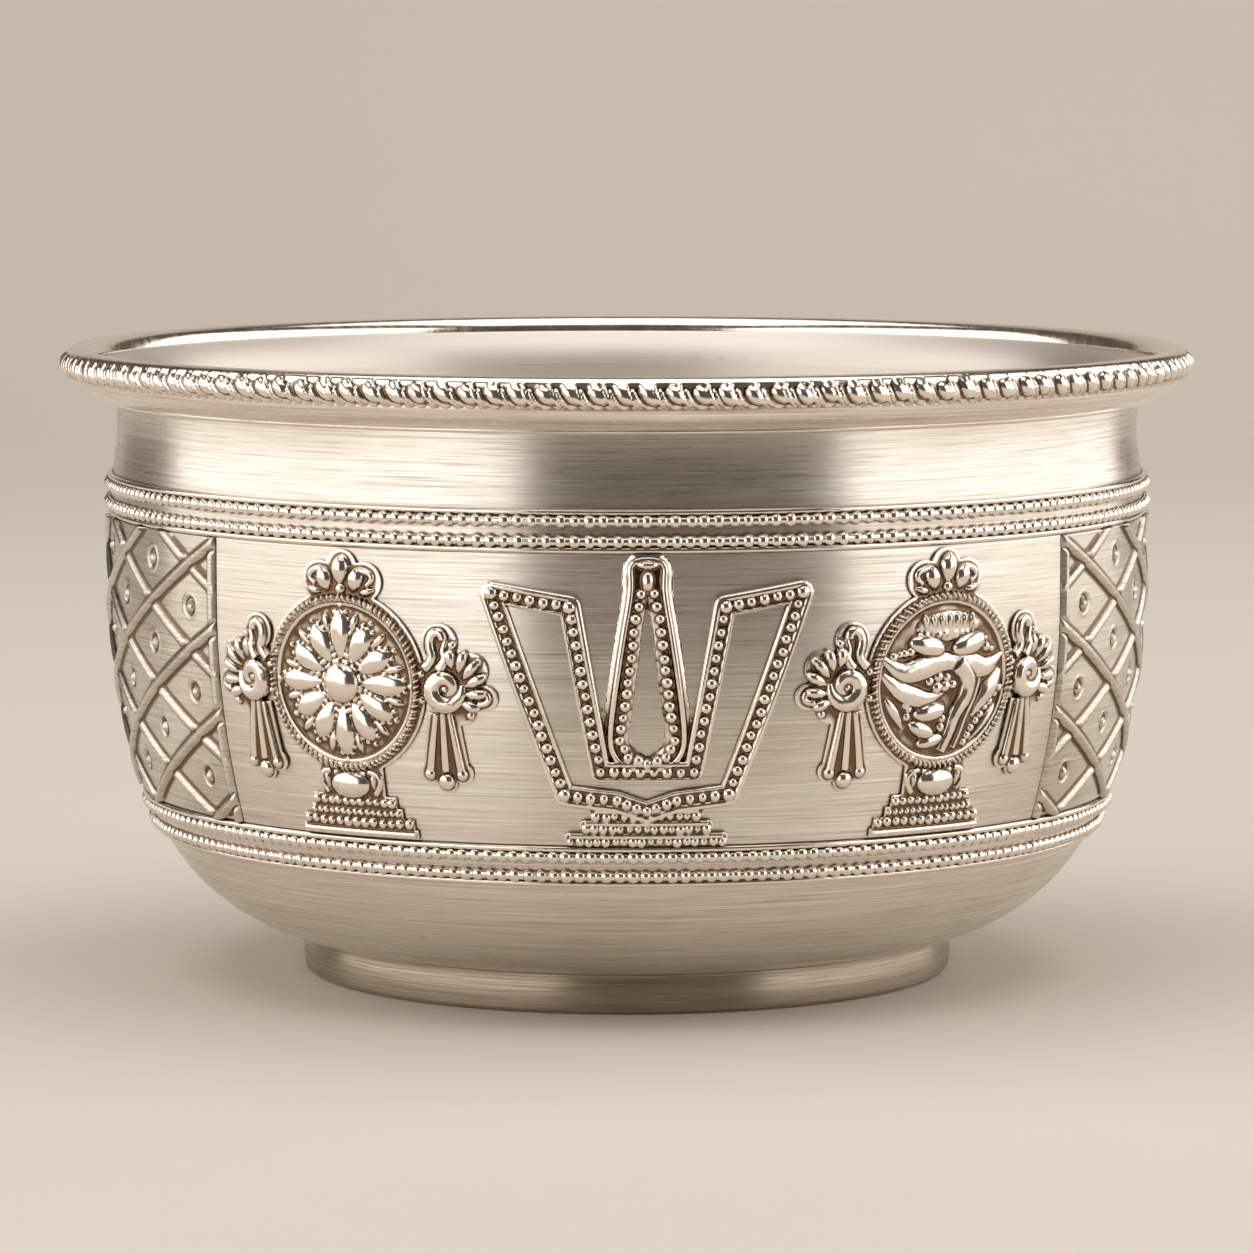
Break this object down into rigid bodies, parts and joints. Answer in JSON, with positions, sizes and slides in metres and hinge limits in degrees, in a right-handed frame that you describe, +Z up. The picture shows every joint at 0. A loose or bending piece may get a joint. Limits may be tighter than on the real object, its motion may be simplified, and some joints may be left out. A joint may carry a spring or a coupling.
{
  "type": "offering bowl",
  "caption": "Round silver offering bowl on a foot ring, with a worked rim, beaded bands, lattice sides and struck wheel, vertical mark and conch ornaments.",
  "frame": {"origin": "on the table, under the middle of the foot ring", "axes": "+Z up along the bowl's axis, the front ornaments face -Y, the wheel on the -X side"},
  "size_m": [0.102, 0.102, 0.0566],
  "materials": {
    "satin_silver": "satin, finely brushed round the bowl",
    "polished_silver": "polished relief with darker hollows"
  },
  "bodies": {
    "root": {"bowl_shell": "satin_silver", "foot_ring": "satin_silver", "lip_moulding": "satin_silver", "rim_wire": "polished_silver", "upper_band_strip": "satin_silver", "upper_bead_wire_top": "polished_silver", "upper_bead_wire_bottom": "polished_silver", "lower_band_strip": "satin_silver", "lower_bead_wire_top": "polished_silver", "lower_bead_wire_bottom": "polished_silver", "front_panel": "satin_silver", "back_panel": "satin_silver", "left_lattice_panel": "polished_silver", "right_lattice_panel": "polished_silver", "front_wheel_ornament": "polished_silver", "front_mark_ornament": "polished_silver", "front_conch_ornament": "polished_silver", "back_wheel_ornament": "polished_silver", "back_mark_ornament": "polished_silver", "back_conch_ornament": "polished_silver"}
  },
  "joints": []
}
